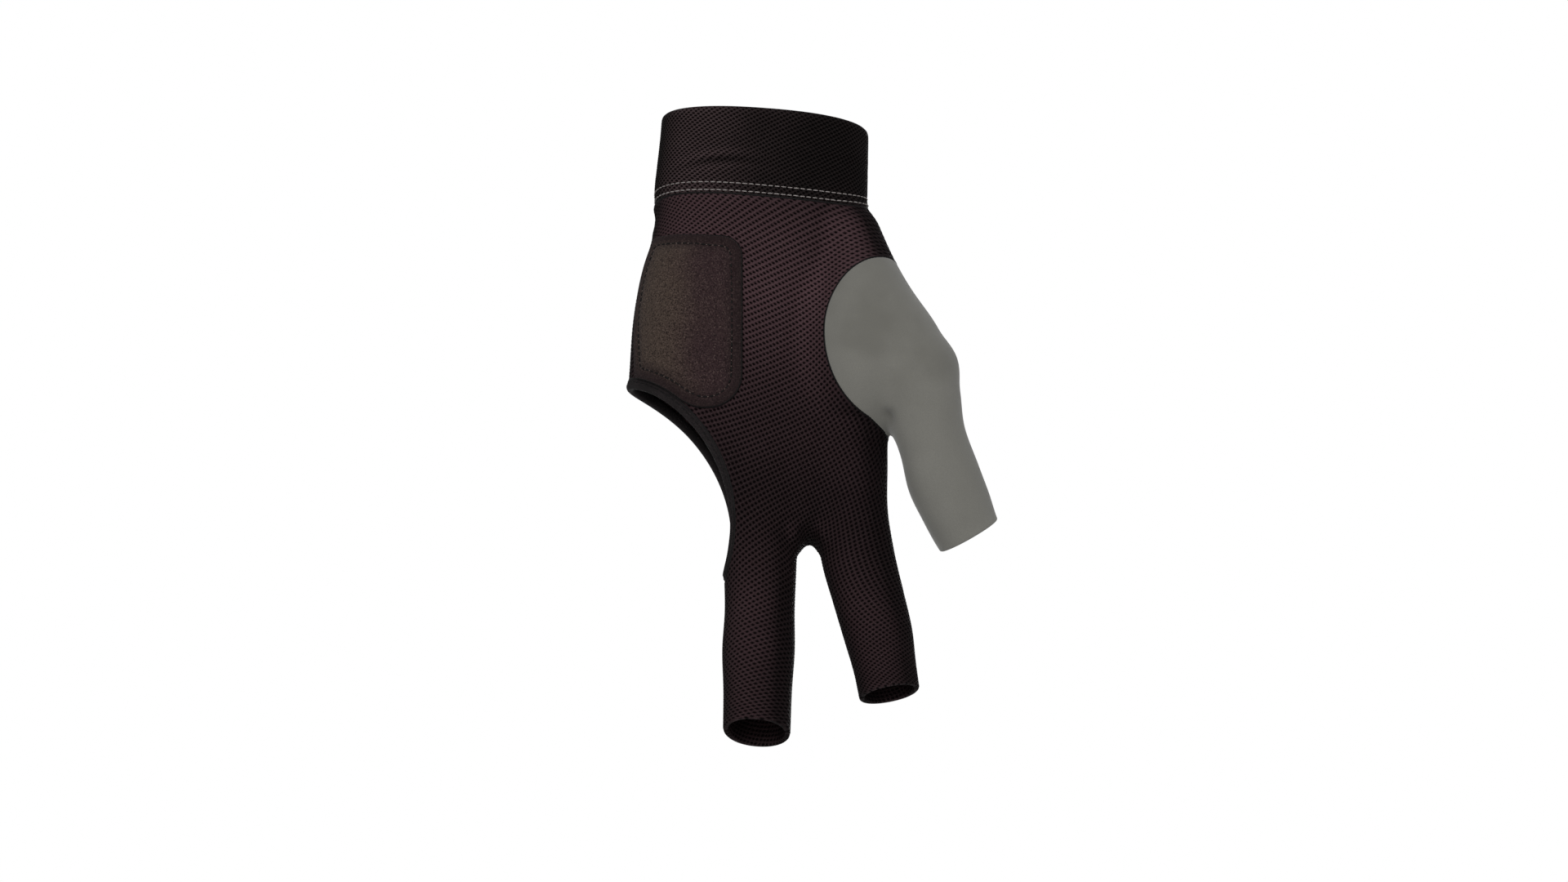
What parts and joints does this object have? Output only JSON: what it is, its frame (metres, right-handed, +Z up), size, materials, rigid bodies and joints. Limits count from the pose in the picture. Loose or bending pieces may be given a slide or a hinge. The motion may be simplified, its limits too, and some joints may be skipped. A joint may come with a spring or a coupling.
{
  "type": "billiard glove",
  "caption": "Left-side billiard glove: mesh body with open-ended thumb, index and middle sleeves, a wide side opening, a wrist cuff and a heel patch.",
  "frame": {"origin": "middle of the wrist mouth, where the wrist goes in", "axes": "+Z up out of the wrist mouth, -Y the palm side, +X the thumb side; the sleeves point down"},
  "size_m": [0.1069, 0.0524, 0.1878],
  "materials": {
    "air_mesh": "dark brown-black knitted air mesh, matte",
    "cuff_mesh": "the same mesh, doubled, with two rows of light topstitching",
    "stretch_cloth": "smooth mid grey stretch cloth, matte",
    "suede": "dark brown suede-like grip patch, stitched round its edge",
    "binding_tape": "black folded tape, matte",
    "light_thread": "light grey sewing thread",
    "dark_thread": "black sewing thread"
  },
  "bodies": {
    "root": {"wrist_cuff": "cuff_mesh", "palm_panel": "air_mesh", "back_panel": "air_mesh", "thumb_panel": "stretch_cloth", "palm_patch": "suede", "opening_binding": "binding_tape"}
  },
  "joints": []
}
